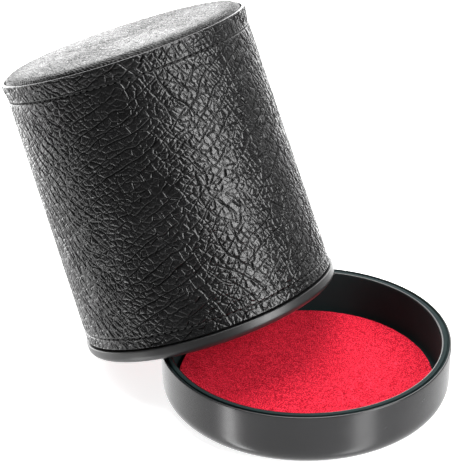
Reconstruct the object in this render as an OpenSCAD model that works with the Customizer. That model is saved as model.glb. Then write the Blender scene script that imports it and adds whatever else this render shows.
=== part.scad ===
// Leather-wrapped dice cup with a tray lid.
// The lid stands on the table. The cup is upside down and leans: the low edge of its mouth ring
// is on the table and the raised edge rests on the lid's rim. X runs through both axes, cup at -X.

/* [Lid] */
// Outer diameter of the lid at its rim
lid_d = 90; // [84:1:100]
// Height of the lid
lid_h = 18; // [16:0.5:22]
// Width of the rim's flat land with its two edges
rim_w = 3; // [2.5:0.1:3.4]
// Depth of the fine groove round the rim
rim_groove_d = 0.7; // [0.3:0.1:1]
// Rounding of the lid's lower outer edge
lid_round = 6; // [4:0.5:8]
// Thickness of the lid's floor
lid_floor_t = 2.4; // [2:0.1:3]

/* [Felt pad in the lid] */
// Thickness of the card disc under the felt
pad_board_t = 1; // [0.8:0.1:1.4]
// Thickness of the felt disc
felt_t = 1.3; // [1:0.1:2]
// Gap between the pad's edge and the lid's inner wall
pad_gap = 1.4; // [1:0.1:2]

/* [Cup] */
// Height of the leather wrap, edge to edge
wrap_h = 86; // [70:1:100]
// Gap between the cup's widest ring and the lid's inner wall when the lid is on
lid_clearance = 0.6; // [0.4:0.1:1]
// How much smaller the wrap's radius is at the base than at the mouth
cup_taper = 1.5; // [0:0.1:2.5]
// Thickness of the leather
leather_t = 1.2; // [0.9:0.1:1.5]
// Thickness of the rigid tube
tube_t = 2; // [1.6:0.1:2.5]
// Thickness of the felt lining
lining_t = 1.2; // [1:0.1:1.5]

/* [Mouth ring] */
// Height of the ring below the leather
ring_h = 4.2; // [3.5:0.1:5]
// Rounding of the ring's lower outer edge
ring_round = 2.2; // [1.5:0.1:2.6]
// Height of the collar that stands inside the lining
collar_h = 6; // [4:0.5:10]

/* [Base cap] */
// Thickness of the board that closes the tube
base_board_t = 2.4; // [2:0.1:3]
// Height of the cap's crown above the wrap's edge
crown_h = 2; // [1:0.1:2.6]
// How much the wrap flares over the cap
base_flare = 0.6; // [0.3:0.1:1]

/* [Stitching] */
// Distance of the base stitch line below the wrap's upper edge
base_stitch_drop = 5.8; // [5.4:0.1:8]
// Distance of the mouth stitch line above the wrap's lower edge
mouth_stitch_rise = 3.4; // [2.5:0.1:5]
// Radius of the sewing thread
thread_r = 0.25; // [0.2:0.01:0.3]

/* [Lean] */
// Angle of the cup's axis from upright
cup_tilt = 21.7; // [21:0.1:23]
// Clearance left between the ring and the lid's rim where the cup rests
rest_gap = 0.2; // [0.1:0.05:0.4]

/* [Hidden] */
$fn = 180;

// Small edge roundings and gaps
edge_round = 0.5;
inner_round = 1.5;
ring_gap = 0.4;
fit_gap = 0.1;
cutter_extra = 1;

// Lid
lid_r = lid_d / 2;
lid_draft = 0.5;
rim_r = lid_r - rim_w;
rim_groove_w = 0.9;
rim_groove_r = lid_r - edge_round - fit_gap;
inner_draft = 0.8;
floor_r = rim_r - inner_draft;
pad_board_inset = 0.2;
pad_top = lid_floor_t + pad_board_t + felt_t;
felt_r = floor_r - pad_gap;

// Cup, in its own frame: z = 0 is the ring's lower face and z rises to the base
ring_r = rim_r - lid_clearance;
wrap_z0 = ring_h + ring_gap;
wrap_z1 = wrap_z0 + wrap_h;
ring_overhang = 0.6;
wrap_r0 = ring_r - ring_overhang;
cap_skirt_h = 4;
tube_z1 = wrap_z1 - cap_skirt_h;
flare_z0 = wrap_z1 - base_stitch_drop + 2 * thread_r;
cup_board_t = 1;
floor_z1 = tube_z1 - cup_board_t;
floor_z0 = floor_z1 - lining_t;
collar_t = 0.8;
foam_edge_t = 0.1;
cover_t = 0.9;

// Radii of the tapered layers at height z
function wrap_r(z) = wrap_r0 - cup_taper * (z - wrap_z0) / wrap_h;
function tube_r(z) = wrap_r(z) - leather_t;
function bore_r(z) = tube_r(z) - tube_t;
function lined_r(z) = bore_r(z) - lining_t;
collar_r0 = lined_r(ring_h) - collar_t;
collar_z1 = ring_h + collar_h;

// The cap sits on the tube's end, inside the flared edge of the wrap
cap_r = wrap_r(wrap_z1) + base_flare - leather_t - fit_gap;
board_r = cap_r - cover_t;
board_z1 = tube_z1 + base_board_t;
crown_z = wrap_z1 + crown_h;
dome_h = 0.5;
shoulder_z = board_z1 + foam_edge_t;
shoulder_r = crown_z - dome_h - shoulder_z;

// Places of the two stitch lines and the size of the grooves that hold the thread
base_stitch_z = wrap_z1 - base_stitch_drop;
mouth_stitch_z = wrap_z0 + mouth_stitch_rise;
thread_side_gap = 0.15;
thread_sink = 0.02;
groove_w = 2 * (thread_r + thread_side_gap);
groove_d = 2 * thread_r + fit_gap;
seam_angle = 180;
seam_end_gap = 1;

// The lean: the ring's low edge meets the table and its inner lower edge meets the lid's rim
low_r = ring_r - ring_round;
cup_z = low_r * sin(cup_tilt) + ring_round * (1 - cos(cup_tilt));
chord_x = (lid_h + rest_gap - cup_z) / tan(cup_tilt);
chord_in_plane = chord_x / cos(cup_tilt);
seat_r = lid_r - edge_round;
cup_x = chord_x + sqrt(seat_r ^ 2 - collar_r0 ^ 2 + chord_in_plane ^ 2);

// Quarter of a circle as points, counter-clockwise from angle a, about (cx, cy)
function arc(cx, cy, r, a, steps = 10) =
    [for (i = [0 : steps]) [cx + r * cos(a + 90 * i / steps), cy + r * sin(a + 90 * i / steps)]];

// The same points in the opposite order
function backwards(points) = [for (i = [len(points) - 1 : -1 : 0]) points[i]];

// Puts a piece of the cup where the cup leans
module leaned() {
    translate([-cup_x, 0, cup_z])
        rotate([0, -cup_tilt, 0])
            children();
}

// A sleeve between two radii given at its lower and upper ends
module sleeve(z0, z1, inner0, inner1, outer0, outer1) {
    rotate_extrude()
        polygon([[inner0, z0], [outer0, z0], [outer1, z1], [inner1, z1]]);
}

// A flat disc
module disc(r, z0, z1) {
    translate([0, 0, z0])
        cylinder(r = r, h = z1 - z0);
}

// Moulded tray: rounded lower edge, drafted walls, flat rim with both edges eased and a groove round it
module lid_shell() {
    wall_r = lid_r - lid_draft;
    color([0.09, 0.09, 0.09])
        rotate_extrude()
            polygon(concat(
                [[0, 0]],
                arc(wall_r - lid_round, lid_round, lid_round, -90),
                arc(lid_r - edge_round, lid_h - edge_round, edge_round, 0, 4),
                rim_groove(),
                arc(rim_r + edge_round, lid_h - edge_round, edge_round, 90, 4),
                backwards(arc(floor_r - inner_round, lid_floor_t + inner_round, inner_round, -90, 6)),
                [[0, lid_floor_t]]));
}

// Outline of the groove round the rim, from its outer edge inwards
function rim_groove() = [
    [rim_groove_r, lid_h],
    [rim_groove_r, lid_h - rim_groove_d],
    [rim_groove_r - rim_groove_w, lid_h - rim_groove_d],
    [rim_groove_r - rim_groove_w, lid_h]];

// Card disc glued to the lid's floor
module lid_pad_board() {
    color([0.75, 0.66, 0.5])
        disc(felt_r - pad_board_inset, lid_floor_t, lid_floor_t + pad_board_t);
}

// Red felt disc on the card
module lid_felt_pad() {
    color([0.8, 0.06, 0.12])
        disc(felt_r, lid_floor_t + pad_board_t, pad_top);
}

// Moulded ring: closes the tube's end and holds the lining's edge behind its collar
module mouth_ring() {
    color([0.12, 0.12, 0.12])
        leaned()
            rotate_extrude()
                polygon(concat(
                    [[collar_r0, 0]],
                    arc(ring_r - ring_round, ring_round, ring_round, -90),
                    arc(ring_r - edge_round, ring_h - edge_round, edge_round, 0, 4),
                    [[lined_r(ring_h), ring_h], [lined_r(collar_z1), collar_z1],
                        [collar_r0, collar_z1]]));
}

// Rigid tapered tube that carries everything
module cup_tube() {
    color([0.55, 0.47, 0.36])
        leaned()
            sleeve(ring_h, tube_z1, bore_r(ring_h), bore_r(tube_z1), tube_r(ring_h), tube_r(tube_z1));
}

// Leather round the tube, flared over the cap, with grooves for the stitching
module leather_wrap() {
    color([0.1, 0.1, 0.1])
        leaned()
            difference() {
                rotate_extrude()
                    polygon([
                        [tube_r(wrap_z0), wrap_z0],
                        [wrap_r(wrap_z0), wrap_z0],
                        [wrap_r(flare_z0), flare_z0],
                        [wrap_r(wrap_z1) + base_flare, wrap_z1],
                        [cap_r + fit_gap, wrap_z1],
                        [cap_r + fit_gap, tube_z1],
                        [tube_r(tube_z1), tube_z1]]);
                hem_groove(mouth_stitch_z);
                hem_groove(base_stitch_z);
                seam_groove();
            }
}

// Ring-shaped cutter for the thread of a hem
module hem_groove(z) {
    r = wrap_r(z);
    rotate_extrude()
        translate([r - groove_d, z - groove_w / 2])
            square([groove_d + cutter_extra, groove_w]);
}

// Straight cutter for the thread of the seam, along the tapered side between the hems
module seam_groove() {
    seam_line(mouth_stitch_z, base_stitch_z)
        translate([-groove_d, -groove_w / 2, 0])
            cube([groove_d + cutter_extra, groove_w, seam_length(mouth_stitch_z, base_stitch_z)]);
}

// Length of the tapered side between two heights
function seam_length(z0, z1) = norm([wrap_r(z1) - wrap_r(z0), z1 - z0]);

// Stands its children on the wrap's outside at the seam, x pointing outwards and z up the side
module seam_line(z0, z1) {
    rotate([0, 0, seam_angle])
        translate([wrap_r(z0), 0, z0])
            rotate([0, atan2(wrap_r(z1) - wrap_r(z0), z1 - z0), 0])
                children();
}

// Thread of one hem
module hem_thread(z) {
    color([0.05, 0.05, 0.05])
        leaned()
            rotate_extrude()
                translate([wrap_r(z) - thread_r - thread_sink, z])
                    circle(r = thread_r, $fn = 24);
}

module mouth_hem_stitching() {
    hem_thread(mouth_stitch_z);
}

module base_hem_stitching() {
    hem_thread(base_stitch_z);
}

// Thread of the seam at the back, short of both hem threads
module seam_stitching() {
    z0 = mouth_stitch_z + seam_end_gap;
    z1 = base_stitch_z - seam_end_gap;
    color([0.05, 0.05, 0.05])
        leaned()
            seam_line(z0, z1)
                translate([-thread_r - thread_sink, 0, 0])
                    cylinder(r = thread_r, h = seam_length(z0, z1), $fn = 24);
}

// Felt on the inside of the tube
module wall_lining() {
    color([0.75, 0.06, 0.12])
        leaned()
            sleeve(ring_h, floor_z1, lined_r(ring_h), lined_r(floor_z1), bore_r(ring_h), bore_r(floor_z1));
}

// Card disc under the floor felt
module floor_lining_card() {
    color([0.75, 0.66, 0.5])
        leaned()
            disc(bore_r(tube_z1), floor_z1, tube_z1);
}

// Felt on the cup's floor
module floor_lining() {
    color([0.75, 0.06, 0.12])
        leaned()
            disc(lined_r(floor_z1), floor_z0, floor_z1);
}

// Board that closes the tube
module base_board() {
    color([0.6, 0.5, 0.36])
        leaned()
            disc(board_r, tube_z1, board_z1);
}

// Outline of the cap from the axis to its side, inset from the leather's outer face
function cap_outline(inset) = concat(
    [for (i = [0 : 6]) [(cap_r - shoulder_r) * i / 6, crown_z - inset - dome_h * (i / 6) ^ 2]],
    backwards(arc(cap_r - shoulder_r, shoulder_z, shoulder_r - inset, 0, 9)));

// Foam that crowns the cap
module base_padding() {
    color([0.85, 0.82, 0.7])
        leaned()
            rotate_extrude()
                polygon(concat(cap_outline(cover_t), [[board_r, board_z1], [0, board_z1]]));
}

// Leather over the foam, rolled down round the board's edge
module base_cover() {
    color([0.12, 0.12, 0.12])
        leaned()
            rotate_extrude()
                polygon(concat(
                    cap_outline(0),
                    [[cap_r, tube_z1], [board_r, tube_z1]],
                    backwards(cap_outline(cover_t))));
}

lid_shell();
lid_pad_board();
lid_felt_pad();
mouth_ring();
cup_tube();
leather_wrap();
mouth_hem_stitching();
base_hem_stitching();
seam_stitching();
wall_lining();
floor_lining_card();
floor_lining();
base_board();
base_padding();
base_cover();
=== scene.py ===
import math

import bpy
import numpy as np
from mathutils import Matrix, Vector


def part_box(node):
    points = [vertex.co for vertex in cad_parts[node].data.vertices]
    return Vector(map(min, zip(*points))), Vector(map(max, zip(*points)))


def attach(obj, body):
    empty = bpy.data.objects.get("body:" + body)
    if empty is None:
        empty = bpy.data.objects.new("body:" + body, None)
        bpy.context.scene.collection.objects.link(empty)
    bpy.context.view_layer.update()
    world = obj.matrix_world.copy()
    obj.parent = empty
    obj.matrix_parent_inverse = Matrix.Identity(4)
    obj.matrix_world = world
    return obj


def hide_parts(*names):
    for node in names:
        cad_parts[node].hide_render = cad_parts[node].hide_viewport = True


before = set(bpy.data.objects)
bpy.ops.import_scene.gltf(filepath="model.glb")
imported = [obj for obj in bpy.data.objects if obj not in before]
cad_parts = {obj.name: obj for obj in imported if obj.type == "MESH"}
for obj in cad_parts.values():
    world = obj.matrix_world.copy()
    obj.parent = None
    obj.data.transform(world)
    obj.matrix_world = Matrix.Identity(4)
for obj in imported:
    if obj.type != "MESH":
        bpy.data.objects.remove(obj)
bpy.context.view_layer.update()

MM = 0.001
TURN = 2 * math.pi


# ---------------------------------------------------------------- the frame

def centre(node):
    """Middle of a CAD node's box, which for a round piece is a point on its axis."""
    low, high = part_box(node)
    return (low + high) / 2


def node_points(node):
    """A CAD node's vertices as an array."""
    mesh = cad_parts[node].data
    points = np.empty(len(mesh.vertices) * 3)
    mesh.vertices.foreach_get("co", points)
    return points.reshape(-1, 3)


SAME_HEIGHT = 0.15 * MM


class Axis:
    """A body's own axis: z runs along it from origin, x lies in the XZ plane and y is the row's Y."""

    def __init__(self, origin, direction):
        self.z = direction.normalized()
        self.y = Vector((0, 1, 0))
        self.x = self.y.cross(self.z)
        self.origin = origin

    def matrix(self):
        """The transform from the body's own coordinates to the row's."""
        made = Matrix((self.x, self.y, self.z)).transposed().to_4x4()
        made.translation = self.origin
        return made

    def polar(self, node):
        """(radius, height) of a CAD node's vertices about this axis."""
        local = node_points(node) - np.array(self.origin)
        along = local @ np.array(self.z)
        across = local - along[:, None] * np.array(self.z)
        return np.linalg.norm(across, axis=1), along

    def span(self, node):
        """(lowest, highest) height of a node along the axis."""
        _, along = self.polar(node)
        return float(along.min()), float(along.max())

    def radius(self, node, height=None, inner=False):
        """Largest or smallest radius of a node, at one height or over all of it."""
        radii, along = self.polar(node)
        if height is not None:
            radii = radii[np.abs(along - height) < SAME_HEIGHT]
        return float(radii.min() if inner else radii.max())


upright = Axis(Vector((0, 0, 0)), Vector((0, 0, 1)))
mouth_hem_centre = centre("mouth_hem_stitching")
leaning = Axis(mouth_hem_centre, centre("base_hem_stitching") - mouth_hem_centre)
leaning.origin = mouth_hem_centre + leaning.z * leaning.span("mouth_ring")[0]


# ---------------------------------------------------------------- camera

EYE = Vector((0.3003, -0.4014, 0.3205))
LOOK = Vector((-0.56143, 0.68218, -0.46842))
ROLL = math.radians(-1.267)
FIELD_OF_VIEW = math.radians(13.7688)

camera_data = bpy.data.cameras.new("camera")
camera_data.sensor_width = 36
camera_data.sensor_fit = "HORIZONTAL"
camera_data.angle = FIELD_OF_VIEW
camera_data.clip_start = 0.01
camera = bpy.data.objects.new("camera", camera_data)
bpy.context.scene.collection.objects.link(camera)
aimed = LOOK.to_track_quat("-Z", "Y").to_matrix()
camera.rotation_euler = (aimed @ Matrix.Rotation(ROLL, 3, "Z")).to_euler()
camera.location = EYE
bpy.context.scene.camera = camera


# ---------------------------------------------------------------- noise

CREASE_WIDTH = 0.165 * MM
FINE_CREASE_WIDTH = 0.09 * MM
FAR_AWAY = 1e9
# Parts that the grain is made of. Sizes are in grain cells, heights are parts of the grain's depth.
WARP = 0.3
WARP_SIZE = 1.6
FLOW_SIZE = 7
FLOW_SWING = 0.4
SWELL_SIZE = 3
PEBBLE_STRETCH = 1.5
PEBBLE_ROUND = 0.3
SMALL_CELL = 0.37
SMALL_TURN = 1.2
SMALL_STRETCH = 1.2
SMALL_ROUND = 0.1
SMALL_DOME = 0.05
FINE_DEPTH = 0.16
FINE_CREASE_SHADE = 0.4
LONG_DEPTH = 1.2
GRAIN_SINK = 0.2


def bell(offset, width):
    """1 where the offset is 0, falling smoothly to 0 over about the width."""
    return np.exp(-(offset / width) ** 2)


def scramble(a, b, seed):
    """A repeatable random number from 0 to 1 for each pair of whole numbers."""
    a = a.astype(np.int64).astype(np.uint64)
    b = b.astype(np.int64).astype(np.uint64)
    n = a * np.uint64(374761393) + b * np.uint64(668265263) + np.uint64(seed * 974711 + 1013)
    n = (n ^ (n >> np.uint64(13))) * np.uint64(1274126177)
    n = (n ^ (n >> np.uint64(16))) * np.uint64(2246822519)
    n = n ^ (n >> np.uint64(15))
    return (n & np.uint64(0xFFFFFF)).astype(float) / 0xFFFFFF


def waves(x, y, size, period, seed):
    """Smooth noise from -1 to 1 with bumps of the given size, repeating in x after period."""
    count = max(1, round(period / size))
    gx, gy = x / period * count, y / size
    ix, iy = np.floor(gx), np.floor(gy)
    fx, fy = gx - ix, gy - iy
    fx, fy = fx * fx * (3 - 2 * fx), fy * fy * (3 - 2 * fy)
    corner = [[scramble((ix + i) % count, iy + j, seed) for i in (0, 1)] for j in (0, 1)]
    low = corner[0][0] * (1 - fx) + corner[0][1] * fx
    high = corner[1][0] * (1 - fx) + corner[1][1] * fx
    return 2 * (low * (1 - fy) + high * fy) - 1


def creases(x, y, size, period, angle, stretch, seed):
    """Distance to the nearest edge of a net of irregular cells, and a random number for that edge.

    The cells are long by stretch along angle, and the net repeats in x after period."""
    count = max(1, round(period / size))
    gx, gy = x / period * count, y / size
    ix, iy = np.floor(gx), np.floor(gy)
    ca, sa = np.cos(angle), np.sin(angle)
    near = np.full(x.shape, FAR_AWAY)
    second = near.copy()
    near_a, near_b, near_id = np.zeros(x.shape), np.zeros(x.shape), np.zeros(x.shape)
    second_a, second_b, second_id = near_a.copy(), near_a.copy(), near_a.copy()
    for j in range(-2, 3):
        for i in range(-2, 3):
            cx, cy = (ix + i) % count, iy + j
            dx = ix + i + scramble(cx, cy, seed) - gx
            dy = iy + j + scramble(cx, cy, seed + 7) - gy
            a = (dx * ca + dy * sa) / stretch
            b = -dx * sa + dy * ca
            d = a * a + b * b
            own = cx + 4096 * (cy + 512)
            first = d < near
            other = ~first & (d < second)
            for keep, old, new in ((second_a, near_a, a), (second_b, near_b, b), (second_id, near_id, own)):
                keep[first] = old[first]
                keep[other] = new[other]
            second = np.where(first, near, np.where(other, d, second))
            near = np.where(first, d, near)
            near_a[first], near_b[first], near_id[first] = a[first], b[first], own[first]
    between = np.hypot(second_a - near_a, second_b - near_b)
    distance = (second - near) / (2 * np.maximum(between, 1e-6)) * size
    edge = scramble(near_id + second_id, np.abs(near_id - second_id), seed + 3)
    return distance, edge


def long_creases(x, y, period, spacing, angle, seed):
    """Long wavering creases at an angle to the x axis, broken into lengths: 1 along a crease, 0 away."""
    across = round(period * math.sin(angle) / spacing) / period
    along = math.cos(angle) / spacing
    drift = 0.5 * waves(x, y, 3.2 * spacing, period, seed)
    drift = drift + 0.16 * waves(x, y, 0.9 * spacing, period, seed + 1)
    phase = across * x - along * y + drift
    off = np.abs(phase - np.round(phase)) * spacing
    broken = waves(x, y, 1.7 * spacing, period, seed + 2) + 0.5 * waves(x, y, 5 * spacing, period, seed + 3)
    return bell(off, CREASE_WIDTH) * np.clip(0.85 + 1.2 * broken, 0, 1)


def grain(x, y, period, cell, depth, doming, swelling, families, seed):
    """Height of pebbled leather, and how deep in a crease each point is, which the leather's material turns
    into painted shade.

    Domed pebbles parted by creases, smaller pebbles on them, and families of long creases that cross:
    each family is (direction, spacing in cells, weight). doming and swelling are the heights of the
    pebbles and of the slow unevenness under them, as parts of the depth."""
    warp = WARP * cell
    wx = x + warp * waves(x, y, WARP_SIZE * cell, period, seed + 20)
    wy = y + warp * waves(x, y, WARP_SIZE * cell, period, seed + 21)
    pull = sum(weight * math.radians(slant) for slant, _, weight in families)
    sway = FLOW_SWING * waves(x, y, FLOW_SIZE * cell, period, seed + 22)
    flow = pull / sum(weight for _, _, weight in families) + sway
    far, edge = creases(wx, wy, cell, period, flow, PEBBLE_STRETCH, seed)
    small_flow = flow + SMALL_TURN
    near, small_edge = creases(wx, wy, SMALL_CELL * cell, period, small_flow, SMALL_STRETCH, seed + 40)
    deep = bell(far, CREASE_WIDTH) * (0.35 + 0.65 * edge ** 1.5)
    fine = np.exp(-near / FINE_CREASE_WIDTH) * (0.25 + 0.75 * small_edge)
    dome = 1 - np.exp(-far / (PEBBLE_ROUND * cell))
    small_dome = 1 - np.exp(-near / (SMALL_ROUND * cell))
    lines = np.zeros(x.shape)
    for k, (slant, spacing, weight) in enumerate(families):
        family = long_creases(x, y, period, spacing * cell, math.radians(slant), seed + 50 + 10 * k)
        lines = np.maximum(lines, weight * family)
    swell = waves(x, y, SWELL_SIZE * cell, period, seed + 24)
    # how deep in a crease each point is: the mask for the shade painted into the creases
    crease_shade = np.maximum(np.maximum(deep, lines), FINE_CREASE_SHADE * fine)
    raised = doming * dome + SMALL_DOME * small_dome + swelling * swell
    height = raised - np.maximum(deep, LONG_DEPTH * lines) - FINE_DEPTH * fine
    return depth * (height - GRAIN_SINK), np.clip(crease_shade, 0, 1)


# ---------------------------------------------------------------- meshes

ON_AXIS = 1e-7
ARC_STEP = math.radians(9)
MOULDED_COLUMNS = 512
MOULDED_WOBBLE = 0.02 * MM
MOULDED_WAVE = 8 * MM


def add_piece(name, mesh, axis, body, *nodes):
    """Links a mesh as a piece of the object that stands for the CAD nodes and rides on the body."""
    made = bpy.data.objects.new(name, mesh)
    bpy.context.scene.collection.objects.link(made)
    mesh.transform(axis.matrix())
    mesh.update()
    if nodes:
        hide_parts(*nodes)
    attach(made, body)
    return made


def mesh_from(name, points, faces):
    """A smooth-shaded mesh from an array of points and a list of arrays of faces, each of one size."""
    mesh = bpy.data.meshes.new(name)
    mesh.vertices.add(len(points))
    mesh.vertices.foreach_set("co", np.asarray(points, np.float32).ravel())
    sizes = np.concatenate([np.full(len(f), f.shape[1]) for f in faces])
    corners = np.concatenate([f.ravel() for f in faces])
    mesh.loops.add(len(corners))
    mesh.loops.foreach_set("vertex_index", corners.astype(np.int32))
    mesh.polygons.add(len(sizes))
    mesh.polygons.foreach_set("loop_start", (np.cumsum(sizes) - sizes).astype(np.int32))
    mesh.update(calc_edges=True)
    mesh.polygons.foreach_set("use_smooth", np.ones(len(sizes), bool))
    mesh.validate()
    return mesh


def turned(name, radius, height, closed):
    """A turned mesh from arrays of radius and height, one row for each ring and one column for each angle.

    A closed outline joins its last ring to its first. An open one ends in a point at both ends."""
    rows, columns = radius.shape
    angle = np.arange(columns) / columns * TURN
    points = np.stack([radius * np.cos(angle), radius * np.sin(angle), height], -1).reshape(-1, 3)
    index = np.arange(rows * columns).reshape(rows, columns)
    upper = np.roll(index, -1, 0) if closed else index[1:]
    lower = index if closed else index[:-1]
    quads = np.stack([lower, np.roll(lower, -1, 1), np.roll(upper, -1, 1), upper], -1).reshape(-1, 4)
    faces = [quads]
    if not closed:
        tips = [[0, 0, height[0].mean()], [0, 0, height[-1].mean()]]
        points = np.vstack([points, tips])
        first, last = index[0], index[-1]
        low_tip, high_tip = np.full(columns, rows * columns), np.full(columns, rows * columns + 1)
        faces.append(np.stack([low_tip, np.roll(first, -1), first], -1))
        faces.append(np.stack([high_tip, last, np.roll(last, -1)], -1))
    return mesh_from(name, points, faces)


def outline(corners):
    """Points (radius, height) along straight lines and fillets.

    Each corner is (radius, height, rounding, spacing of the points along the line that follows)."""
    count = len(corners)
    cuts = []
    for i, (r, z, rounding, _) in enumerate(corners):
        here = np.array([r, z])
        back = np.array(corners[i - 1][:2]) - here
        ahead = np.array(corners[(i + 1) % count][:2]) - here
        if rounding == 0:
            cuts.append((here, here, [here]))
            continue
        back, ahead = back / np.linalg.norm(back), ahead / np.linalg.norm(ahead)
        half = math.acos(float(np.clip(back @ ahead, -1, 1))) / 2
        reach = rounding / math.tan(half)
        start, end = here + back * reach, here + ahead * reach
        middle = here + (back + ahead) / np.linalg.norm(back + ahead) * rounding / math.sin(half)
        a, b = start - middle, end - middle
        turn = math.atan2(a[0] * b[1] - a[1] * b[0], float(a @ b))
        steps = max(4, int(abs(turn) / ARC_STEP))
        arc = []
        for k in range(steps + 1):
            t = turn * k / steps
            c, s = math.cos(t), math.sin(t)
            arc.append(middle + np.array([a[0] * c - a[1] * s, a[0] * s + a[1] * c]))
        cuts.append((start, end, arc))
    made = []
    for i, (_, _, _, spacing) in enumerate(corners):
        made.extend(cuts[i][2])
        start, end = cuts[i][1], cuts[(i + 1) % count][0]
        steps = max(1, int(np.linalg.norm(end - start) / spacing)) if spacing else 1
        made.extend(start + (end - start) * k / steps for k in range(1, steps))
    return np.array(made)


def off_axis(points):
    """The points of an outline that aren't on the axis."""
    return points[points[:, 0] > ON_AXIS]


def swept(points, columns):
    """Angle, radius and height of an outline's points (rows) at each place round the axis (columns)."""
    radius = np.repeat(points[:, :1], columns, 1)
    height = np.repeat(points[:, 1:2], columns, 1)
    angle = np.broadcast_to(np.arange(columns) / columns * TURN, radius.shape)
    return angle, radius, height


def moulded(name, points, closed, seed):
    """A turned mesh with the same outline all round and a slight moulded unevenness."""
    angle, radius, height = swept(points, MOULDED_COLUMNS)
    uneven = waves(angle, height / MOULDED_WAVE, 0.5, TURN, seed)
    return turned(name, radius + MOULDED_WOBBLE * uneven, height, closed)


def store_creases(mesh, values):
    """Keeps how deep in a crease each vertex is, for the leather's material, which paints shade there."""
    layer = mesh.attributes.new("crease", "FLOAT", "POINT")
    layer.data.foreach_set("value", values.astype(np.float32))


# ---------------------------------------------------------------- materials

class NodeTree:
    """Short names for the nodes of a material or of the world."""

    def __init__(self, tree):
        self.tree = tree
        self.coordinates = self.add("ShaderNodeTexCoord")
        self.place = self.coordinates.outputs["Object"]

    def add(self, kind, **settings):
        node = self.tree.nodes.new(kind)
        for key, value in settings.items():
            setattr(node, key, value)
        return node

    def link(self, a, b):
        self.tree.links.new(a, b)

    def noise(self, scale, detail, roughness):
        node = self.add("ShaderNodeTexNoise")
        node.inputs["Scale"].default_value = scale
        node.inputs["Detail"].default_value = detail
        node.inputs["Roughness"].default_value = roughness
        self.link(self.place, node.inputs["Vector"])
        return node.outputs["Fac"]

    def cell_edges(self, scale):
        """Distance to the nearest edge of a net of cells."""
        node = self.add("ShaderNodeTexVoronoi", feature="DISTANCE_TO_EDGE")
        node.inputs["Scale"].default_value = scale
        self.link(self.place, node.inputs["Vector"])
        return node.outputs["Distance"]

    def ramp(self, value, low, high, start, end):
        """value from low to high becomes start to end, and stays within them."""
        node = self.add("ShaderNodeMapRange")
        for key, number in zip(("From Min", "From Max", "To Min", "To Max"), (low, high, start, end)):
            node.inputs[key].default_value = number
        self.link(value, node.inputs["Value"])
        return node.outputs["Result"]

    def layer(self, name):
        """The values of one of the mesh's own layers."""
        return self.add("ShaderNodeAttribute", attribute_name=name).outputs["Fac"]

    def math(self, operation, a, b):
        node = self.add("ShaderNodeMath", operation=operation)
        for socket, value in zip(node.inputs, (a, b)):
            if isinstance(value, (int, float)):
                socket.default_value = value
            else:
                self.link(value, socket)
        return node.outputs["Value"]

    def colours(self, value, *stops):
        """A colour ramp: each stop is (position, (r, g, b))."""
        node = self.add("ShaderNodeValToRGB")
        ramp = node.color_ramp
        while len(ramp.elements) < len(stops):
            ramp.elements.new(0.5)
        for element, (position, colour) in zip(ramp.elements, stops):
            element.position = position
            element.color = (*colour, 1)
        self.link(value, node.inputs["Fac"])
        return node.outputs["Color"]

    def bump(self, height, strength, distance, below=None):
        node = self.add("ShaderNodeBump")
        node.inputs["Strength"].default_value = strength
        node.inputs["Distance"].default_value = distance
        self.link(height, node.inputs["Height"])
        if below:
            self.link(below, node.inputs["Normal"])
        return node.outputs["Normal"]


class Nodes(NodeTree):
    """The nodes of one new material."""

    def __init__(self, name):
        self.material = bpy.data.materials.new(name)
        self.material.use_nodes = True
        super().__init__(self.material.node_tree)
        self.shader = self.tree.nodes["Principled BSDF"]

    def finish(self, colour, rough, normal, **fixed):
        """Links or sets the shader's main sockets; fixed gives other sockets their values."""
        for value, key in ((colour, "Base Color"), (rough, "Roughness"), (normal, "Normal")):
            if isinstance(value, (int, float)):
                self.shader.inputs[key].default_value = value
            elif value is not None:
                self.link(value, self.shader.inputs[key])
        for key, value in fixed.items():
            self.shader.inputs[key.replace("_", " ").title().replace("Ior", "IOR")].default_value = value
        return self.material


def leather(name, dark, light, shine, hollow, fine):
    """Black leather with shade painted into its creases: darker and with less gloss there, with pores and
    hair-fine wrinkles as bump.

    shine is the roughness, hollow the specular level at the bottom of a crease and fine the scale of
    the wrinkles. The export drops the link to the specular level and keeps the socket's own value."""
    n = Nodes(name)
    crease = n.layer("crease")
    patch = n.noise(60, 4, 0.6)
    # painted shade: the colour darkens with the crease layer, in the creases, the hem grooves, the seam and
    # the cover's puckers
    tone = n.math("SUBTRACT", n.ramp(patch, 0.3, 0.7, 0.35, 0.85), n.math("MULTIPLY", crease, 0.6))
    colour = n.colours(tone, (0.0, dark), (1.0, light))
    wear = n.noise(420, 3, 0.6)
    worn = n.ramp(wear, 0.3, 0.7, shine - 0.04, shine + 0.06)
    rough = n.math("ADD", worn, n.math("MULTIPLY", crease, 0.08))
    wrinkles = n.cell_edges(fine)
    pores = n.noise(fine * 2.4, 3, 0.65)
    normal = n.bump(n.ramp(wrinkles, 0.0, 0.12, 0.0, 1.0), 0.4, 0.035 * MM)
    normal = n.bump(pores, 0.15, 0.02 * MM, normal)
    n.shader.inputs["Specular IOR Level"].default_value = 0.5
    # painted shade: the specular level falls from 0.5 towards hollow with the crease layer, standing in for
    # the creases' shadow
    n.link(n.ramp(crease, 0.25, 0.9, 0.5, hollow), n.shader.inputs["Specular IOR Level"])
    return n.finish(colour, rough, normal)


def plastic(name, dark, light, shine, specular=0.5):
    """Satin moulded plastic with faint mottling, fine rub marks and a slight orange-peel surface."""
    n = Nodes(name)
    colour = n.colours(n.noise(35, 4, 0.6), (0.3, dark), (0.7, light))
    rough = n.ramp(n.noise(260, 4, 0.7), 0.35, 0.75, shine, shine + 0.06)
    peel = n.bump(n.noise(1400, 2, 0.5), 0.08, 0.01 * MM)
    peel = n.bump(n.noise(90, 2, 0.5), 0.06, 0.1 * MM, peel)
    return n.finish(colour, rough, peel, specular_ior_level=specular)


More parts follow.
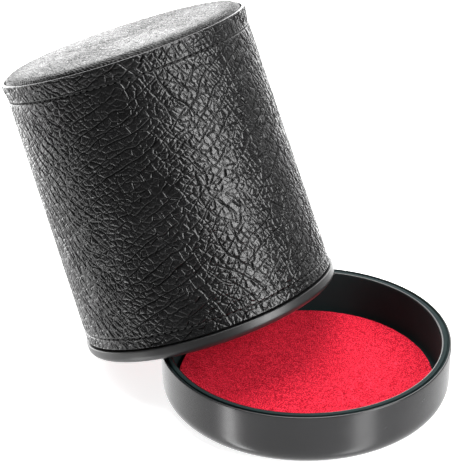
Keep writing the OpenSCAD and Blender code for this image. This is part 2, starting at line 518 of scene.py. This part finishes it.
def felt(name, deep, middle, bright):
    """Short-pile felt: tangled fibres as colour and bump, with a soft sheen."""
    n = Nodes(name)
    fuzz = n.noise(3200, 2, 0.7)
    clumps = n.noise(420, 3, 0.6)
    mixed = n.math("ADD", n.math("MULTIPLY", fuzz, 0.85), n.math("MULTIPLY", clumps, 0.15))
    colour = n.colours(mixed, (0.43, deep), (0.5, middle), (0.57, bright))
    normal = n.bump(fuzz, 0.8, 0.25 * MM)
    normal = n.bump(clumps, 0.4, 0.3 * MM, normal)
    return n.finish(colour, 0.95, normal, sheen_weight=0.35, sheen_roughness=0.5,
                    sheen_tint=(*bright, 1), specular_ior_level=0.1)


def fibrous(name, dark, light, scale):
    """Card, board or foam: a flecked matt surface."""
    n = Nodes(name)
    flecks = n.noise(scale, 5, 0.7)
    colour = n.colours(flecks, (0.35, dark), (0.65, light))
    normal = n.bump(flecks, 0.5, 0.1 * MM)
    return n.finish(colour, 0.9, normal, specular_ior_level=0.2)


def waxed_thread():
    """Twisted black thread."""
    n = Nodes("waxed_thread")
    twist = n.add("ShaderNodeTexWave")
    twist.inputs["Scale"].default_value = 900
    twist.inputs["Distortion"].default_value = 1.5
    n.link(n.place, twist.inputs["Vector"])
    colour = n.colours(twist.outputs["Fac"], (0.0, (0.006, 0.006, 0.006)), (1.0, (0.03, 0.03, 0.03)))
    normal = n.bump(twist.outputs["Fac"], 0.5, 0.06 * MM)
    return n.finish(colour, 0.6, normal, specular_ior_level=0.4)


wrap_leather = leather("wrap_leather", (0.0006, 0.0006, 0.0006), (0.005, 0.005, 0.0053), 0.22, 0.04, 1100)
cover_leather = leather("cover_leather", (0.0015, 0.0015, 0.0015), (0.011, 0.011, 0.0115), 0.27, 0.15, 1900)
lid_plastic = plastic("lid_plastic", (0.009, 0.009, 0.0095), (0.014, 0.014, 0.0148), 0.22)
# lid_inside: a low-gloss copy of the lid's plastic, also used on the rim's groove and land as painted shade;
# its blue-green tint is partly the plastic's own and partly painted to cancel the red light the felt bounces
# onto it
lid_inside = plastic("lid_inside", (0.012, 0.02, 0.0205), (0.016, 0.027, 0.0275), 0.7, 0.05)
ring_plastic = plastic("ring_plastic", (0.008, 0.0082, 0.0085), (0.012, 0.0122, 0.0125), 0.36, 0.6)
red_felt = felt("red_felt", (0.2, 0.0005, 0.004), (0.76, 0.008, 0.028), (1.0, 0.045, 0.09))
lining_felt = felt("lining_felt", (0.3, 0.002, 0.01), (0.6, 0.008, 0.025), (0.8, 0.03, 0.06))
card = fibrous("card", (0.3, 0.24, 0.16), (0.55, 0.47, 0.34), 900)
tube_board = fibrous("tube_board", (0.008, 0.008, 0.008), (0.025, 0.024, 0.023), 700)
foam = fibrous("foam", (0.5, 0.46, 0.33), (0.8, 0.76, 0.6), 1400)
thread = waxed_thread()


def dress(piece, material):
    """Gives a piece its one material and the record's slot."""
    piece.data.materials.clear()
    piece.data.materials.append(material)


def dress_node(node, material):
    """A CAD node that stays gets the better material in all its slots."""
    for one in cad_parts[node].material_slots:
        one.material = material


# ---------------------------------------------------------------- the leather wrap

# For each family of long creases on the wrap: direction from the round of the cup, spacing in grain cells,
# where round the cup it is strongest and how far it spreads. The angles are in degrees.
WRAP_CREASES = (
    (22, 1.5, -66, 45),
    (-60, 1.7, -32, 32),
    (32, 1.8, -4, 42),
    (-50, 1.5, -112, 40),
    (-74, 1.2, -135, 32),
    (-62, 1.5, 28, 40),
    (-80, 1.2, 48, 32),
    (28, 2.2, 115, 70),
    (-46, 2.0, 190, 60),
)
WRAP_COLUMNS = 1400
ROW_PITCH = 0.18 * MM
EDGE_ROUND = 0.28 * MM
GRAIN_CELL = 2.3 * MM
GRAIN_DEPTH = 0.34 * MM
HEM_GROOVE_DEPTH = 0.5 * MM
HEM_GROOVE_WIDTH = 0.24 * MM
SEAM_DEPTH = 0.45 * MM
SEAM_WIDTH = 0.3 * MM
HEM_PULL_DEPTH = 0.08 * MM
HEM_PULL_WIDTH = 1.0 * MM
HEM_SHADE_WIDTH = 0.3 * MM
SMOOTHED = 0.7
SMOOTHED_WIDTH = 0.8 * MM
WANDER = 0.08 * MM
WANDER_SIZE = 9 * MM
WRAP_DOMING = 0.2
WRAP_SWELLING = 0.13
FAINTEST = 0.15
SEAM_ANGLE = math.pi

wrap_low, wrap_high = leaning.span("leather_wrap")
mouth_hem = sum(leaning.span("mouth_hem_stitching")) / 2
base_hem = sum(leaning.span("base_hem_stitching")) / 2
wrap_mouth_r = leaning.radius("leather_wrap", wrap_low)
wrap_rim_r = leaning.radius("leather_wrap", wrap_high)
wrap_seat_r = leaning.radius("leather_wrap", wrap_high, inner=True)
wrap_bore_r = leaning.radius("leather_wrap", wrap_low, inner=True)
cover_low, cover_high = leaning.span("base_cover")
hem_thread_r = (leaning.span("base_hem_stitching")[1] - leaning.span("base_hem_stitching")[0]) / 2
flare_low = base_hem + 2 * hem_thread_r
flare_low_r = leaning.radius("leather_wrap", flare_low)
wrap_taper = (wrap_mouth_r - flare_low_r) / (flare_low - wrap_low)


def wrap_radius(z):
    """Outer radius of the wrap without its grain: tapered, and flared over the cap."""
    tapered = wrap_mouth_r - wrap_taper * (z - wrap_low)
    rise = np.clip((z - flare_low) / (wrap_high - flare_low), 0, 1)
    flare = wrap_rim_r - (wrap_mouth_r - wrap_taper * (wrap_high - wrap_low))
    return tapered + flare * rise * rise * (3 - 2 * rise)


def pressed(z, line):
    """Depth pressed in near a stitch line: a narrow groove in a shallow valley."""
    off = z - line
    return HEM_GROOVE_DEPTH * bell(off, HEM_GROOVE_WIDTH) + HEM_PULL_DEPTH * bell(off, HEM_PULL_WIDTH)


def facing(angle, bearing, spread):
    """Weight that is 1 at a bearing round the cup and falls off over the spread, both in degrees."""
    off = (angle - math.radians(bearing) + math.pi) % TURN - math.pi
    return FAINTEST + (1 - FAINTEST) * bell(off, math.radians(spread))


def wrap_outline():
    """The wrap's outline: its turned edges, its outer face and the seat that the base cover stands in."""
    inner_seat = leaning.radius("leather_wrap", cover_low, inner=True)
    return outline([
        (wrap_bore_r, wrap_low, 0.2 * MM, 0.3 * MM),
        (wrap_mouth_r, wrap_low, EDGE_ROUND, ROW_PITCH),
        (flare_low_r, flare_low, 0, ROW_PITCH),
        (wrap_rim_r, wrap_high, EDGE_ROUND, 0.3 * MM),
        (wrap_seat_r, wrap_high, 0.3 * MM, 1.2 * MM),
        (wrap_seat_r, cover_low, 0, 0.6 * MM),
        (inner_seat, cover_low, 0, 8 * MM),
    ])


def build_wrap():
    """The wrap's leather: pebbled outside, pressed in along both hems and drawn together at its seam."""
    points = wrap_outline()
    angle, radius, height = swept(points, WRAP_COLUMNS)
    around = wrap_mouth_r * angle
    period = wrap_mouth_r * TURN
    families = []
    for slant, spacing, bearing, spread in WRAP_CREASES:
        families.append((slant, spacing, facing(angle[:1], bearing, spread)))
    relief, crease = grain(around, height, period, GRAIN_CELL, GRAIN_DEPTH,
                           WRAP_DOMING, WRAP_SWELLING, families, 5)
    # the grain is only on the outer face, and fades towards both turned edges
    plain = wrap_mouth_r - wrap_taper * (points[:, 1] - wrap_low)
    outer = (points[:, 0] > plain - 0.35 * MM).astype(float)
    fade = np.clip((points[:, 1] - wrap_low) / (0.6 * MM), 0.2, 1)
    fade = fade * np.clip((wrap_high - points[:, 1]) / (0.5 * MM), 0.25, 1)
    weight = (outer * fade)[:, None]
    flared = (points[:, 1] > flare_low) & (points[:, 1] < wrap_high - EDGE_ROUND)
    on_side = (points[:, 0] > plain - 0.05 * MM) & flared
    radius[on_side] = wrap_radius(height[on_side])
    wander = WANDER * waves(around, height, WANDER_SIZE, period, 31)
    wavering = height + wander
    dip = pressed(wavering, mouth_hem) + pressed(wavering, base_hem)
    smooth = 1 - SMOOTHED * bell(height - mouth_hem, SMOOTHED_WIDTH)
    smooth = smooth - SMOOTHED * bell(height - base_hem, SMOOTHED_WIDTH)
    off_seam = wrap_mouth_r * (angle - SEAM_ANGLE) + wander
    seam = bell(off_seam, SEAM_WIDTH)
    smooth = smooth * (1 - SMOOTHED * bell(off_seam, SMOOTHED_WIDTH))
    dip = np.maximum(dip, SEAM_DEPTH * seam)
    radius = radius + weight * (relief * smooth - dip)
    # painted shade: the hem grooves and the seam join the crease layer, so the leather is painted darker and
    # less glossy along them
    hems = bell(wavering - mouth_hem, HEM_SHADE_WIDTH) + bell(wavering - base_hem, HEM_SHADE_WIDTH)
    crease = np.clip(crease * smooth + hems + seam, 0, 1) * weight
    mesh = turned("leather_wrap_grain", radius, height, True)
    store_creases(mesh, crease.ravel())
    made = add_piece("leather_wrap_grain", mesh, leaning, "cup", "leather_wrap")
    dress(made, wrap_leather)


build_wrap()


# ---------------------------------------------------------------- the base cover

# Long creases on the base: direction from the grain's run in degrees, and spacing in grain cells
COVER_CREASES = ((6, 1.7), (40, 3.0))
COVER_COLUMNS = 1150
COVER_RING_PITCH = 0.2 * MM
COVER_SHOULDER = 3.0 * MM
COVER_DOME = 0.5 * MM
COVER_GRAIN_CELL = 0.8 * MM
COVER_GRAIN_DEPTH = 0.22 * MM
COVER_RUN = math.radians(-36)
COVER_STRETCH = 2.4
SIDE_RINGS = 7
SHOULDER_RINGS = 26
PRESSED_FRAMES = 20
PUCKERS = 200
PUCKER_DEPTH = 0.3 * MM
PUCKER_WIDTH = 0.32 * MM
PUCKER_LENGTH = 4.2 * MM
PUCKER_SLANT = 0.9
PUCKER_SWAY = 0.4
PUCKER_SHADE = 0.7
COVER_DOMING = 0.5
COVER_SWELLING = 0.02
COVER_PERIOD = 4.0
CLEAR_OF_ORIGIN = 1
PRESSURE = 4
CROWN_RINGS = 20
CROWN_COLUMNS = 96
cover_side_r = leaning.radius("base_cover")


def pressed_disc(radius, rings, columns):
    """Heights, ring by ring from the centre, of a disc of leather held at its edge and pressed up by foam.

    This is a cloth simulation. The heights are scaled so that the highest is 1."""
    around = np.arange(columns) / columns * TURN
    points = [(0, 0, 0)]
    for i in range(1, rings + 1):
        r = radius * i / rings
        points.extend(zip(r * np.cos(around), r * np.sin(around), 0 * around))
    ahead = np.roll(np.arange(columns), -1)
    faces = [(0, 1 + j, 1 + ahead[j]) for j in range(columns)]
    for i in range(rings - 1):
        first = 1 + i * columns
        second = first + columns
        for j in range(columns):
            faces.append((first + j, second + j, second + ahead[j], first + ahead[j]))
    mesh = bpy.data.meshes.new("pressed_disc")
    mesh.from_pydata(points, [], faces)
    disc = bpy.data.objects.new("pressed_disc", mesh)
    bpy.context.scene.collection.objects.link(disc)
    held = disc.vertex_groups.new(name="held")
    last_ring = 1 + (rings - 1) * columns
    held.add(list(range(last_ring, last_ring + columns)), 1.0, "REPLACE")
    cloth = disc.modifiers.new("cloth", "CLOTH")
    cloth.settings.vertex_group_mass = "held"
    cloth.settings.use_pressure = True
    cloth.settings.uniform_pressure_force = PRESSURE
    cloth.settings.effector_weights.gravity = 0
    cloth.point_cache.frame_end = PRESSED_FRAMES
    for frame_number in range(1, PRESSED_FRAMES + 1):
        bpy.context.scene.frame_set(frame_number)
    settled = disc.evaluated_get(bpy.context.evaluated_depsgraph_get()).to_mesh()
    shape = np.empty(len(settled.vertices) * 3)
    settled.vertices.foreach_get("co", shape)
    heights = shape.reshape(-1, 3)[:, 2]
    bpy.data.objects.remove(disc)
    bpy.context.scene.frame_set(1)
    profile = np.r_[heights[0], heights[1:].reshape(rings, columns).mean(1)]
    return np.clip(profile / profile.max(), 0, 1)


def cover_rings():
    """The cover's outline from lower edge to centre, as (radius, height, share of the relief)."""
    edge_z = cover_high - COVER_DOME - COVER_SHOULDER
    flat_r = cover_side_r - COVER_SHOULDER
    crown = pressed_disc(flat_r, CROWN_RINGS, CROWN_COLUMNS)
    rings = []
    for k in range(SIDE_RINGS):
        rings.append((cover_side_r, cover_low + (edge_z - cover_low) * k / SIDE_RINGS, 0.3))
    for k in range(SHOULDER_RINGS):
        t = math.pi / 2 * k / SHOULDER_RINGS
        weight = 0.6 + 0.4 * k / SHOULDER_RINGS
        rings.append((flat_r + COVER_SHOULDER * math.cos(t), edge_z + COVER_SHOULDER * math.sin(t), weight))
    steps = int(flat_r / COVER_RING_PITCH)
    for k in range(steps):
        u = 1 - k / steps
        lift = np.interp(u * (len(crown) - 1), np.arange(len(crown)), crown)
        rings.append((flat_r * u, edge_z + COVER_SHOULDER + COVER_DOME * lift, 1))
    return np.array(rings)


def puckers(angle, run, turned_in):
    """Fine slanted gathers round the cover's edge, 1 along each; run is the distance from the lower edge."""
    slanted = angle + PUCKER_SLANT * run / cover_side_r
    sway = waves(angle, run / turned_in + 0 * angle, 0.11, TURN, 91)
    phase = PUCKERS * slanted / TURN + PUCKER_SWAY * sway
    off = np.abs(phase - np.round(phase)) * cover_side_r * TURN / PUCKERS
    broken = waves(slanted, run / (3 * MM) + 0 * angle, 0.05, TURN, 92)
    return bell(off, PUCKER_WIDTH) * np.clip(0.7 + 0.7 * broken, 0, 1)


def build_cover():
    """The base's leather: crowned over its foam, rolled down and gathered into fine puckers at its edge."""
    rings = cover_rings()
    angle, radius, height = swept(rings, COVER_COLUMNS)
    share = rings[:, 2:]
    along = radius * np.cos(angle - COVER_RUN) / COVER_STRETCH
    across = radius * np.sin(angle - COVER_RUN)
    run = np.cumsum(np.r_[0, np.hypot(np.diff(rings[:, 0]), np.diff(rings[:, 1]))])[:, None]
    turned_in = run[SIDE_RINGS + SHOULDER_RINGS]
    # the grain runs on over the rolled edge instead of being drawn out down it
    spread = 1 + (turned_in - run) / radius * (run < turned_in)
    families = [(slant, spacing, 1) for slant, spacing in COVER_CREASES]
    relief, crease = grain(along * spread + CLEAR_OF_ORIGIN, across * spread, COVER_PERIOD, COVER_GRAIN_CELL,
                           COVER_GRAIN_DEPTH, COVER_DOMING, COVER_SWELLING, families, 77)
    pucker = puckers(angle, run, turned_in)
    on_roll = bell(run - run[SIDE_RINGS + SHOULDER_RINGS // 2 + 4], PUCKER_LENGTH)
    relief = relief * (1 - 0.5 * on_roll) - PUCKER_DEPTH * on_roll * pucker
    slope_r = np.gradient(rings[:, 0])[:, None]
    slope_z = np.gradient(rings[:, 1])[:, None]
    size = np.hypot(slope_r, slope_z)
    radius = radius + relief * slope_z / size * share
    height = height - relief * slope_r / size * share
    mesh = turned("base_cover_leather", radius, height, False)
    # painted shade: the puckers join the crease layer, so the leather is painted darker and less glossy in
    # them
    values = np.clip(crease + PUCKER_SHADE * on_roll * pucker, 0, 1).ravel()
    # the mesh's last two vertices are the tips that close it on its axis
    store_creases(mesh, np.r_[values, 0, 0])
    made = add_piece("base_cover_leather", mesh, leaning, "cup", "base_cover")
    dress(made, cover_leather)


build_cover()


# ---------------------------------------------------------------- stitching

STITCH_PITCH = 2.2 * MM
STITCH_LENGTH = 1.75 * MM
STITCH_SIDES = 8
STITCH_RINGS = 9
STITCH_DIVE = 0.3 * MM
HEM_THREAD_SUNK = 0.25 * MM
SEAM_THREAD_SUNK = 0.1 * MM
UP = Vector((0, 0, 1))


def stitch_rings(place, count):
    """Tubes of thread, one for each stitch: place(k, t) gives (position, across, out) along stitch k."""
    sides, rings = STITCH_SIDES, STITCH_RINGS
    points, faces = [], []
    ring = np.arange(sides)
    for k in range(count):
        for i in range(rings):
            t = i / (rings - 1)
            position, across, out = place(k, t)
            thick = hem_thread_r * (0.45 + 0.55 * math.sin(math.pi * min(max(t, 0.06), 0.94)) ** 0.5)
            for s in range(sides):
                a = TURN * s / sides
                points.append(position + across * (thick * math.cos(a)) + out * (thick * math.sin(a)))
        first = k * sides * rings
        for i in range(rings - 1):
            low = first + i * sides + ring
            high = low + sides
            faces.append(np.stack([low, np.roll(low, -1), np.roll(high, -1), high], -1))
    quads = np.concatenate(faces)
    caps = []
    for k in range(count):
        first = k * sides * rings
        caps.append(np.arange(first, first + sides)[::-1])
        last = first + sides * (rings - 1)
        caps.append(np.arange(last, last + sides))
    return points, [quads, np.array(caps)]


def dive(t):
    """How far a stitch has gone into the leather at t, from 0 at its start to 1 at its end."""
    return STITCH_DIVE * (2 * t - 1) ** 4


def hem_stitches(name, node, line, seed):
    """A hem's stitches, each diving into the leather at both ends."""
    base_r = wrap_radius(np.array([line]))[0] - hem_thread_r - HEM_THREAD_SUNK
    count = int(base_r * TURN / STITCH_PITCH)

    def place(k, t):
        wobble = scramble(np.array([k]), np.array([0]), seed)[0] - 0.5
        angle = (k + 0.5 + (t - 0.5) * STITCH_LENGTH / STITCH_PITCH) / count * TURN
        out = Vector((math.cos(angle), math.sin(angle), 0))
        rise = line + 0.12 * MM * wobble + 0.1 * MM * (t - 0.5)
        return out * (base_r - dive(t)) + UP * rise, UP, out

    points, faces = stitch_rings(place, count)
    made = add_piece(name, mesh_from(name, points, faces), leaning, "cup", node)
    dress(made, thread)


def seam_stitches():
    """The seam's stitches, down the side away from the lid."""
    low, high = leaning.span("seam_stitching")
    count = int((high - low) / STITCH_PITCH)

    def place(k, t):
        z = low + (k + 0.5 + (t - 0.5) * STITCH_LENGTH / STITCH_PITCH) / count * (high - low)
        r = wrap_radius(np.array([z]))[0] - hem_thread_r - SEAM_THREAD_SUNK - dive(t)
        return Vector((-r, 0, z)), Vector((0, 1, 0)), Vector((-1, 0, 0))

    points, faces = stitch_rings(place, count)
    name = "seam_stitches"
    made = add_piece(name, mesh_from(name, points, faces), leaning, "cup", "seam_stitching")
    dress(made, thread)


hem_stitches("mouth_hem_stitches", "mouth_hem_stitching", mouth_hem, 11)
hem_stitches("base_hem_stitches", "base_hem_stitching", base_hem, 12)
seam_stitches()


# ---------------------------------------------------------------- moulded pieces

RIM_GROOVE_INSET = 0.5 * MM
RIM_GROOVE_WIDTH = 0.9 * MM
RIM_GROOVE_DEPTH = 0.7 * MM
RIM_EDGE_ROUND = 0.5 * MM
RING_LEDGE_DROP = 0.6 * MM


def build_ring():
    """The mouth ring: a rounded lower edge, a ledge under the leather and a collar inside the lining."""
    low, high = leaning.span("mouth_ring")
    outer = leaning.radius("mouth_ring")
    inner = leaning.radius("mouth_ring", inner=True)
    ledge = wrap_low - RING_LEDGE_DROP
    collar_r = leaning.radius("mouth_ring", high)
    collar_foot_r = leaning.radius("wall_lining", leaning.span("wall_lining")[0], inner=True)
    corners = [
        (inner, low, 0.5 * MM, 0.8 * MM),
        (outer, low, 2.2 * MM, 0.5 * MM),
        (outer, ledge, 0.3 * MM, 0.5 * MM),
        (collar_foot_r, ledge, 0, 1 * MM),
        (collar_r, high, 0.25 * MM, 0.4 * MM),
        (inner, high, 0.25 * MM, 1 * MM),
    ]
    mesh = moulded("mouth_ring_moulded", outline(corners), True, 4)
    made = add_piece("mouth_ring_moulded", mesh, leaning, "cup", "mouth_ring")
    dress(made, ring_plastic)


def build_lid():
    """The lid: drafted wall, a fine groove round its rim, and a matt inside; the groove and the land beside
    it get the matt plastic as painted shade.
    """
    low, high = upright.span("lid_shell")
    edge = RIM_EDGE_ROUND
    rim_inner = upright.radius("lid_shell", high - edge, inner=True)
    floor_top = upright.span("lid_pad_board")[0]
    outer = upright.radius("lid_shell")
    groove_r = outer - RIM_GROOVE_INSET
    corners = [
        (0, low, 0, 4 * MM),
        (outer - 0.5 * MM, low, 6 * MM, 1 * MM),
        (outer, high, 0.3 * MM, 0.2 * MM),
        (groove_r, high, 0.08 * MM, 0.1 * MM),
        (groove_r, high - RIM_GROOVE_DEPTH, 0, 0.1 * MM),
        (groove_r - RIM_GROOVE_WIDTH, high - RIM_GROOVE_DEPTH, 0, 0.1 * MM),
        (groove_r - RIM_GROOVE_WIDTH, high, 0.08 * MM, 0.8 * MM),
        (rim_inner, high, edge, 1 * MM),
        (rim_inner - 0.8 * MM, floor_top, 1.5 * MM, 2 * MM),
        (0, floor_top, 0, 4 * MM),
    ]
    mesh = moulded("lid_shell_moulded", off_axis(outline(corners)), False, 8)
    made = add_piece("lid_shell_moulded", mesh, upright, "lid", "lid_shell")
    dress(made, lid_plastic)
    mesh.materials.append(lid_inside)
    middles = np.empty(len(mesh.polygons) * 3)
    mesh.polygons.foreach_get("center", middles)
    middles = middles.reshape(-1, 3)
    out, up = np.hypot(middles[:, 0], middles[:, 1]), middles[:, 2]
    tray = (out < rim_inner) & (up > floor_top - 0.1 * MM)
    # painted shade: the rim's groove and the land beside it get the dark, low-gloss lid_inside plastic, so
    # they read darker than the rest of the rim
    shaded_rim = (out > rim_inner + 0.7 * MM) & (out < groove_r + 0.01 * MM) & (up > high - 2 * MM)
    mesh.polygons.foreach_set("material_index", (tray | shaded_rim).astype(np.int32))


build_ring()
build_lid()


# ---------------------------------------------------------------- felt

WALL_COLUMNS = 480
NAP_HEIGHT = 0.05 * MM
NAP_PERIOD = 4.0


def felt_disc(name, node, axis, body, material, columns, ring_pitch, seed):
    """A felt disc with a cut edge: softly uneven face, fibres standing up at random."""
    low, high = axis.span(node)
    r = axis.radius(node)
    points = off_axis(outline([
        (0, low, 0, 3 * MM),
        (r, low, 0.1 * MM, 0.25 * MM),
        (r, high, 0.4 * MM, ring_pitch),
        (0, high, 0, ring_pitch),
    ]))
    angle, radius, height = swept(points, columns)
    x, y = radius * np.cos(angle) + CLEAR_OF_ORIGIN, radius * np.sin(angle)
    top = (points[:, 1:] > (low + high) / 2).astype(float)
    nap = waves(x, y, 0.45 * MM, NAP_PERIOD, seed) + 0.6 * waves(x, y, 0.9 * MM, NAP_PERIOD, seed + 1)
    roll = waves(x, y, 14 * MM, NAP_PERIOD, seed + 2)
    height = height + top * (NAP_HEIGHT * nap + 0.06 * MM * roll - 0.08 * MM)
    ragged = np.abs(waves(angle * r, height, 0.5 * MM, r * TURN, seed + 3))
    mesh = turned(name, radius - NAP_HEIGHT * ragged, height, False)
    made = add_piece(name, mesh, axis, body, node)
    dress(made, material)


def wall_felt():
    """The cup's wall lining, napped on its inner face."""
    low, high = leaning.span("wall_lining")
    outer_low, outer_high = (leaning.radius("wall_lining", z) for z in (low, high))
    inner_low, inner_high = (leaning.radius("wall_lining", z, inner=True) for z in (low, high))
    points = outline([
        (inner_low, low, 0, 0.5 * MM),
        (outer_low, low, 0, 6 * MM),
        (outer_high, high, 0, 0.5 * MM),
        (inner_high, high, 0, 0.55 * MM),
    ])
    angle, radius, height = swept(points, WALL_COLUMNS)
    middle = (outer_low + inner_low) / 2
    taper = (outer_low - outer_high) / (high - low)
    inside = points[:, :1] < middle - taper * (points[:, 1:] - low)
    nap = waves(middle * angle, height, 0.6 * MM, middle * TURN, 70)
    mesh = turned("wall_felt_nap", radius + inside * NAP_HEIGHT * nap, height, True)
    made = add_piece("wall_felt_nap", mesh, leaning, "cup", "wall_lining")
    dress(made, lining_felt)


felt_disc("lid_felt_nap", "lid_felt_pad", upright, "lid",
          red_felt, 720, 0.35 * MM, 50)
felt_disc("floor_felt_nap", "floor_lining", leaning, "cup",
          lining_felt, 360, 0.7 * MM, 60)
wall_felt()

for node, material in (("cup_tube", tube_board), ("base_board", tube_board), ("base_padding", foam),
                       ("floor_lining_card", card), ("lid_pad_board", card)):
    dress_node(node, material)


# ---------------------------------------------------------------- floor and light

CAMERA_BEARING = math.atan2(EYE.y, EYE.x)
LIT_POINT = Vector((-0.03, 0, 0.045))
FLOOR_HALF = 6.0
FLOOR_GLOW = 0.82
WIDEST_ANGLE = 2


def add_floor():
    """A large pale floor. Gloss and shadow rays pass through it, so the soft boxes may reach below it."""
    size = FLOOR_HALF
    mesh = bpy.data.meshes.new("floor")
    corners = [(-size, -size, 0), (size, -size, 0), (size, size, 0), (-size, size, 0)]
    mesh.from_pydata(corners, [], [(0, 1, 2, 3)])
    floor = bpy.data.objects.new("floor", mesh)
    floor.visible_glossy = False
    floor.visible_shadow = False
    bpy.context.scene.collection.objects.link(floor)
    n = Nodes("floor_paper")
    colour = n.colours(n.noise(3, 2, 0.5), (0.3, (0.93, 0.93, 0.93)), (0.7, (0.95, 0.95, 0.95)))
    mesh.materials.append(n.finish(colour, 0.8, None, specular_ior_level=0.2, emission_color=(1, 1, 1, 1),
                                   emission_strength=FLOOR_GLOW))


def add_light(name, bearings, elevations, distance, radiance):
    """A soft box that covers a range of bearings and elevations, in degrees, as seen from the object.

    Bearings count from the camera's side, anticlockwise from above."""
    turn = CAMERA_BEARING + math.radians(sum(bearings) / 2)
    rise = math.radians(sum(elevations) / 2)
    away = Vector((math.cos(turn) * math.cos(rise), math.sin(turn) * math.cos(rise), math.sin(rise)))
    data = bpy.data.lights.new(name, "AREA")
    data.shape = "RECTANGLE"
    wide = math.radians(bearings[1] - bearings[0]) * math.cos(rise)
    tall = math.radians(elevations[1] - elevations[0])
    data.size = 2 * distance * math.tan(min(wide, WIDEST_ANGLE) / 2)
    data.size_y = 2 * distance * math.tan(tall / 2)
    data.energy = radiance * math.pi * data.size * data.size_y
    light = bpy.data.objects.new(name, data)
    light.location = LIT_POINT + distance * away
    light.rotation_euler = (-away).to_track_quat("-Z", "Y").to_euler()
    light.visible_camera = False
    bpy.context.scene.collection.objects.link(light)


def add_studio():
    """The room round the soft boxes: bright table and back wall, dim on the camera's side."""
    world = bpy.data.worlds.new("studio")
    world.use_nodes = True
    n = NodeTree(world.node_tree)
    split = n.add("ShaderNodeSeparateXYZ")
    n.link(n.coordinates.outputs["Generated"], split.inputs["Vector"])
    toward = n.math("ADD", n.math("MULTIPLY", split.outputs["X"], math.cos(CAMERA_BEARING)),
                    n.math("MULTIPLY", split.outputs["Y"], math.sin(CAMERA_BEARING)))
    wall = n.ramp(toward, -0.85, -0.2, 1.45, 0.14)
    below = n.ramp(split.outputs["Z"], -0.55, -0.3, 1.0, 0.0)
    table = n.ramp(toward, -0.8, 0.2, 1.7, 1.0)
    gap = n.math("SUBTRACT", table, wall)
    background = n.tree.nodes["Background"]
    background.inputs["Color"].default_value = (1, 1, 1, 1)
    n.link(n.math("ADD", wall, n.math("MULTIPLY", below, gap)), background.inputs["Strength"])
    bpy.context.scene.world = world


add_floor()
add_studio()
add_light("right_box", (42, 68), (-12, 50), 1.0, 10.5)
add_light("right_low_strip", (38, 56), (-62, -24), 1.0, 3.6)
add_light("left_low_strip", (-65, -55), (-62, -27), 1.0, 8.5)
add_light("left_box", (-141, -85), (-31, 2), 1.0, 2.6)
add_light("top_box", (-230, -60), (52, 108), 1.2, 7.5)
add_light("back_box", (145, 235), (-28, 52), 1.5, 3.0)
bpy.context.scene.view_settings.view_transform = "Standard"
